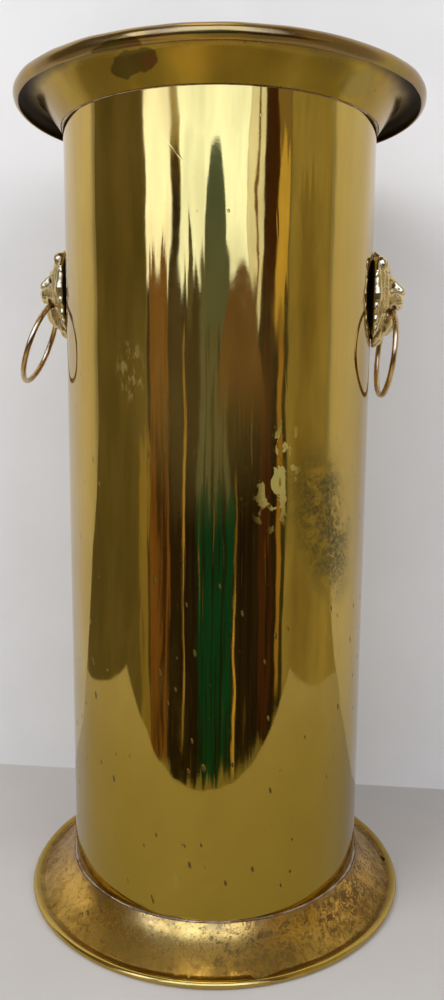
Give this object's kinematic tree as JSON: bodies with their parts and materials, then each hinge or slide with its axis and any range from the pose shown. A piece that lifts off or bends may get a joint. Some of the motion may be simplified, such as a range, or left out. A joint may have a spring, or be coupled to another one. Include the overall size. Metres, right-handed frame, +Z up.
{
  "type": "umbrella stand",
  "caption": "Cylindrical brass umbrella stand with a flared rolled-brim collar, a flared wired foot and lion masks that carry hinged pull rings.",
  "frame": {"origin": "middle of the foot, on the floor", "axes": "+Z up along the tube; the lion masks face +X and -X; the tube's lap seam is at +Y, the back"},
  "size_m": [0.2539, 0.25, 0.5097],
  "materials": {
    "polished_brass": "mirror-polished sheet with fine scratches, small dark pits and a few tarnish smudges",
    "satin_brass": "soft satin polish with faint stains",
    "tarnished_brass": "heavily oxidised golden brown with dark speckle, brighter along the edge bead",
    "cast_brass": "soft cast brass, bright on the high points and dark in the hollows",
    "bronze_wire": "smooth coppery bronze patina",
    "plain_brass": "dull unpolished brass",
    "solder": "dull grey-purple soft solder",
    "iron_wire": "dark drawn iron"
  },
  "bodies": {
    "stand": {"body_shell": "polished_brass", "top_collar": "satin_brass", "base_flange": "tarnished_brass", "base_rim_wire": "iron_wire", "bottom_pan": "plain_brass", "collar_solder": "solder", "base_solder": "solder", "pan_solder": "solder", "right_lion_mask": "cast_brass", "right_upper_washer": "plain_brass", "right_upper_screw": "plain_brass", "right_lower_washer": "plain_brass", "right_lower_screw": "plain_brass", "left_lion_mask": "cast_brass", "left_upper_washer": "plain_brass", "left_upper_screw": "plain_brass", "left_lower_washer": "plain_brass", "left_lower_screw": "plain_brass"},
    "right_ring": {"right_pull_ring": "bronze_wire"},
    "left_ring": {"left_pull_ring": "bronze_wire"}
  },
  "joints": [
    {"name": "right_ring_swing", "type": "hinge", "parent": "stand", "child": "right_ring", "pos_m": [0.1085, 0, 0.3825], "axis": [0.1219, -0.9925, 0], "range_deg": [-6, 172]},
    {"name": "left_ring_swing", "type": "hinge", "parent": "stand", "child": "left_ring", "pos_m": [-0.1085, 0, 0.3865], "axis": [-0.061, 0.9981, 0], "range_deg": [-32, 146]}
  ]
}
